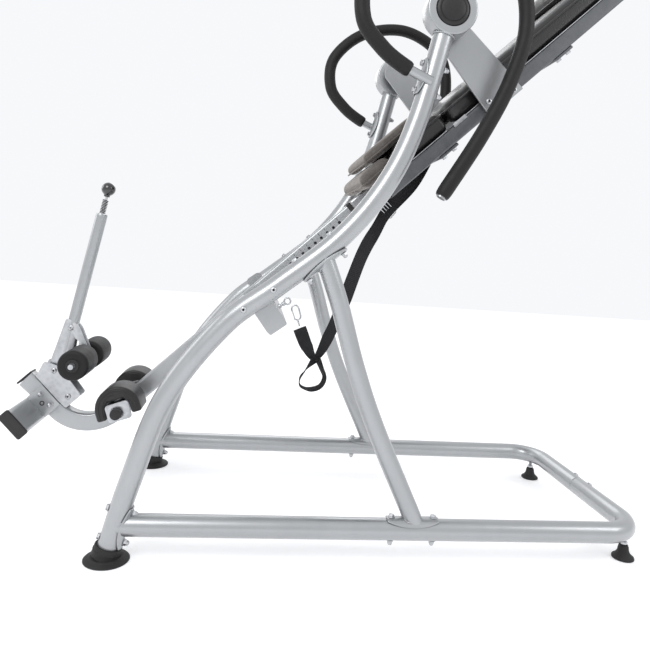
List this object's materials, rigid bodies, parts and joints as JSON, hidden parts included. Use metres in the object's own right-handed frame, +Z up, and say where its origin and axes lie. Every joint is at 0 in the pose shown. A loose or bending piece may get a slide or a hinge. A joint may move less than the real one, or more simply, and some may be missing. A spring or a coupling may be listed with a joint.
{
  "type": "inversion table",
  "caption": "Reclining back-stretching table: S-curved tube posts on a U-shaped base, a padded bed swinging on side hubs, a sliding boom with ankle clamp, arched foam handlebars.",
  "frame": {"origin": "on the floor, under the centre of the machine's box at rest, measured without the tether", "axes": "+Z up, +X towards the user's head, -Y the user's left"},
  "size_m": [1.6614, 0.724, 1.661],
  "materials": {
    "silver_paint": "satin metallic silver paint",
    "zinc_plate": "zinc-plated steel",
    "dark_grey_paint": "satin dark grey paint",
    "black_steel": "black painted steel",
    "black_foam": "closed-cell foam, slightly satin",
    "black_plastic": "semi-gloss moulded plastic",
    "gloss_knob": "glossy black ball",
    "black_rubber": "matt moulded rubber",
    "black_vinyl": "glossy black upholstery vinyl",
    "grey_suede": "grey-brown brushed fabric",
    "black_webbing": "woven black webbing"
  },
  "bodies": {
    "frame": {"left_post": "silver_paint", "right_post": "silver_paint", "left_rear_leg": "silver_paint", "right_rear_leg": "silver_paint", "left_base_rail": "silver_paint", "right_base_rail": "silver_paint", "left_hub_ring": "silver_paint", "right_hub_ring": "silver_paint", "left_hub_cap": "black_plastic", "right_hub_cap": "black_plastic", "left_handlebar": "silver_paint", "right_handlebar": "silver_paint", "left_grip": "black_foam", "right_grip": "black_foam", "left_front_foot": "black_rubber", "right_front_foot": "black_rubber", "base_joiner": "zinc_plate", "cross_brace": "silver_paint", "boom_rest": "black_rubber", "strap_eye": "zinc_plate", "spring_hook": "zinc_plate", "tether_strap": "black_webbing"},
    "left_levelling_foot": {"left_rear_foot": "black_rubber"},
    "right_levelling_foot": {"right_rear_foot": "black_rubber"},
    "bed": {"left_pivot_arm": "silver_paint", "right_pivot_arm": "silver_paint", "left_pivot_pin": "zinc_plate", "right_pivot_pin": "zinc_plate", "left_bed_rail": "dark_grey_paint", "right_bed_rail": "dark_grey_paint", "upper_bed_crossbar": "dark_grey_paint", "lower_bed_crossbar": "dark_grey_paint", "boom_sleeve": "silver_paint", "sleeve_collar": "black_plastic", "back_pad": "black_vinyl", "lower_pad": "black_vinyl", "hip_cushion": "grey_suede", "lumbar_cushion": "grey_suede", "head_pillow": "black_vinyl"},
    "selector": {"selector_pin": "black_steel"},
    "boom": {"boom": "silver_paint", "boom_end_cap": "black_plastic", "foot_rest": "silver_paint", "left_foot_rest_cap": "black_plastic", "right_foot_rest_cap": "black_plastic", "ankle_bracket": "zinc_plate", "heel_bar": "zinc_plate"},
    "left_heel": {"left_heel_cup": "black_plastic"},
    "right_heel": {"right_heel_cup": "black_plastic"},
    "lever": {"ankle_lever": "silver_paint", "roller_axle": "zinc_plate", "plunger_spring": "black_steel"},
    "plunger": {"plunger_rod": "zinc_plate", "ball_knob": "gloss_knob"},
    "left_roller": {"left_front_roller": "black_foam"},
    "right_roller": {"right_front_roller": "black_foam"}
  },
  "joints": [
    {"name": "bed_pivot", "type": "hinge", "parent": "frame", "child": "bed", "pos_m": [0.2093, 0, 1.345], "axis": [0, 1, 0], "range_deg": [0, 110], "deforming": ["tether_strap"]},
    {"name": "boom_slide", "type": "slide", "parent": "bed", "child": "boom", "axis": [0.7145, 0, 0.6997], "range_m": [-0.08, 0.12]},
    {"name": "selector_pull", "type": "slide", "parent": "bed", "child": "selector", "axis": [0, -1, 0], "range_m": [0, 0.014], "stiffness_N_per_m": 900, "springref_m": -0.003},
    {"name": "lever_swing", "type": "hinge", "parent": "boom", "child": "lever", "pos_m": [-0.72837, 0, 0.33299], "axis": [0, -1, 0], "range_deg": [-12, 35]},
    {"name": "knob_pull", "type": "slide", "parent": "lever", "child": "plunger", "axis": [0.173, 0, 0.9849], "range_m": [0, 0.01], "stiffness_N_per_m": 900, "springref_m": -0.004},
    {"name": "left_roller_spin", "type": "hinge", "parent": "lever", "child": "left_roller", "pos_m": [-0.66013, -0.085, 0.40052], "axis": [0, 1, 0], "continuous": true},
    {"name": "right_roller_spin", "type": "hinge", "parent": "lever", "child": "right_roller", "pos_m": [-0.66013, 0.085, 0.40052], "axis": [0, 1, 0], "continuous": true},
    {"name": "left_heel_tilt", "type": "hinge", "parent": "boom", "child": "left_heel", "pos_m": [-0.54074, -0.103, 0.28719], "axis": [0, 1, 0], "range_deg": [-12, 12]},
    {"name": "right_heel_tilt", "type": "hinge", "parent": "boom", "child": "right_heel", "pos_m": [-0.54074, 0.103, 0.28719], "axis": [0, 1, 0], "range_deg": [-12, 12]},
    {"name": "left_foot_level", "type": "slide", "parent": "frame", "child": "left_levelling_foot", "axis": [0, 0, 1], "range_m": [-0.008, 0.006]},
    {"name": "right_foot_level", "type": "slide", "parent": "frame", "child": "right_levelling_foot", "axis": [0, 0, 1], "range_m": [-0.008, 0.006]}
  ]
}
